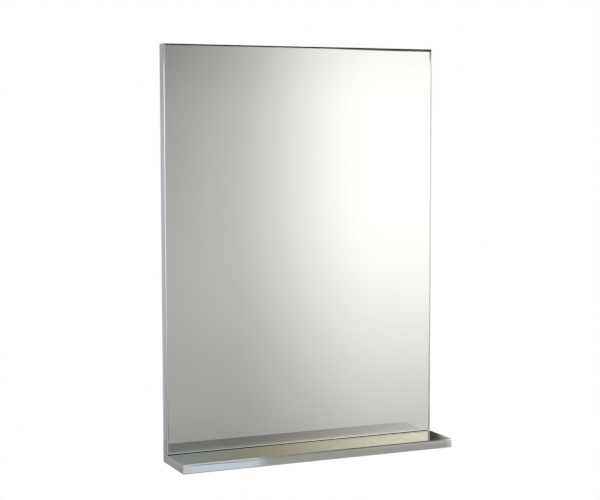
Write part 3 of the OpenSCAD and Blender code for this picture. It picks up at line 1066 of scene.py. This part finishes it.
def studio_cards(tree, around, rise):
    """Cards in the room, each over those before it: name, mask and colour."""
    faced = around.window(0, 60, 10)
    below_edge = (rise - 0.09 * (around - SLOPES_TURN)).fall(-13.2, -12.7)
    table = mix(tree, around.step(18.6, 20.4), (0.78, 0.83, 0.88), (0.84, 0.94, 1.08))
    gap = mix(tree, around.step(150.3, 150.8), (0.36, 0.36, 0.34), (0.07, 0.068, 0.058))
    softbox = mix(tree, rise.step(-11.5, -3.5), (0.74, 0.74, 0.74), (1.35, 1.35, 1.35))
    lamp = mix(tree, rise.step(-10.5, -5), (0.74, 0.74, 0.74), (1.8, 1.8, 1.8))
    ahead = around.step(-7, 6) * (0.8 + 0.2 * rise.step(-9, 0))
    ahead = mix(tree, ahead, (0.43, 0.428, 0.425), (0.99, 0.98, 0.97))
    return [
        ("cream upper wall", faced * rise.step(8.2, 9), cream_wall(tree, around, rise)),
        ("pale ceiling", faced * rise.step(17, 27), (0.8, 0.8, 0.79)),
        ("cool table", below_edge * around.window(-5, 22, 0.85), table),
        ("grey table", below_edge * around.window(22.85, 60, 0.85), (0.49, 0.5, 0.47)),
        ("floor below the table", around.window(-5, 60, 8) * rise.fall(-24, -17),
         (0.6, 0.61, 0.62)),
        ("cool wall behind on the left", around.window(-175, -140, 8) * rise.fall(14, 20),
         cool_wall(tree, rise)),
        ("dark gap behind on the right", around.window(150.2, 155, 0.7) * rise.window(6, 30, 3),
         gap),
        ("dim wall above the softbox", around.window(-130, -5, 8) * rise.window(2.6, 30, 2),
         (0.42, 0.42, 0.41)),
        ("softbox on the left",
         around.window(-130, -14, 8) * rise.step(-14.5, -13.5) * rise.fall(2.3, 3), softbox),
        ("bright wall straight ahead", around.window(-4, 9, 8) * rise.window(-9, 17, 12), ahead),
        ("lamp in the softbox", around.window(-106, -56, 6) * rise.window(-14, 2.3, 0.5), lamp),
        ("cream wall on the left", around.window(-42, -14, 5) * rise.window(9.5, 14, 1.5),
         (0.98, 0.96, 0.83)),
        ("dim wall behind on the right", around.window(64, 140, 6) * rise.window(10, 30, 2),
         (0.12, 0.12, 0.1)),
        ("light wall behind on the right", around.window(95, 138, 14) * rise.window(-40, 3, 7),
         (0.92, 0.92, 0.9)),
    ]


def studio_world():
    """White to the camera, a studio to polished metal and glass, and an even light to the rest."""
    world = bpy.data.worlds.new("studio")
    bpy.context.scene.world = world
    world.use_nodes = True
    tree = world.node_tree
    tree.nodes.clear()
    east, north, up = split(tree, "Generated")
    around = east.math("ARCTAN2", -north) * (180 / math.pi)
    rise = up.math("ARCSINE") * (180 / math.pi)
    studio = plain_room(tree, around, rise)
    for name, mask, colour in studio_cards(tree, around, rise):
        studio = mix(tree, mask, studio, colour, name)
    rays = add(tree, "ShaderNodeLightPath")
    mirrored = rays["Is Glossy Ray"].math("MAXIMUM", rays["Is Transmission Ray"])
    soft = mix(tree, mirrored, (0.8, 0.8, 0.8), studio)
    shown = mix(tree, rays["Is Camera Ray"], soft, (1, 1, 1))
    sky = add(tree, "ShaderNodeBackground", None, {"Color": shown, "Strength": 1.0})
    add(tree, "ShaderNodeOutputWorld", None, {"Surface": sky[0]})


AIM = Vector((0, 0, -0.25))


def soft_lamp(name, place, size, watts, in_metal=False):
    """A square lamp at place that shines on the middle of the mirror."""
    lamp = bpy.data.lights.new(name, "AREA")
    lamp.size = size
    lamp.energy = watts
    light = placed(name, lamp)
    light.location = place
    light.rotation_euler = (AIM - Vector(place)).to_track_quat("-Z", "Y").to_euler()
    light.visible_glossy = in_metal
    light.visible_transmission = False


def photo_camera(place, yaw, pitch, roll):
    """The photograph's camera. Its angles are in degrees: yaw from straight at the wall towards
    the right, pitch upwards and roll anticlockwise."""
    data = bpy.data.cameras.new("photo_camera")
    data.lens = 86.72
    data.sensor_width = 36
    data.clip_end = 60
    camera = placed("photo_camera", data)
    yaw, pitch, roll = (math.radians(angle) for angle in (yaw, pitch, roll))
    flat = Vector((math.sin(yaw), math.cos(yaw), 0))
    ahead = math.cos(pitch) * flat + Vector((0, 0, math.sin(pitch)))
    right = Vector((math.cos(yaw), -math.sin(yaw), 0))
    up = right.cross(ahead)
    side = math.cos(roll) * right + math.sin(roll) * up
    top = -math.sin(roll) * right + math.cos(roll) * up
    turn = Matrix((side, top, -ahead)).transposed().to_4x4()
    camera.matrix_world = Matrix.Translation(place) @ turn
    bpy.context.scene.camera = camera


studio_world()
soft_lamp("key_left", (-2.2, -2.4, 1.6), 1.6, 40)
soft_lamp("fill_right", (2.4, -1.8, 0.6), 1.8, 20)
soft_lamp("behind", (0.9, 2.4, 2.0), 1.1, 60, True)
photo_camera((-1.0082, -2.2895, -0.0417), 23.819, -4.75, -0.10)
bpy.context.scene.view_settings.view_transform = "Standard"
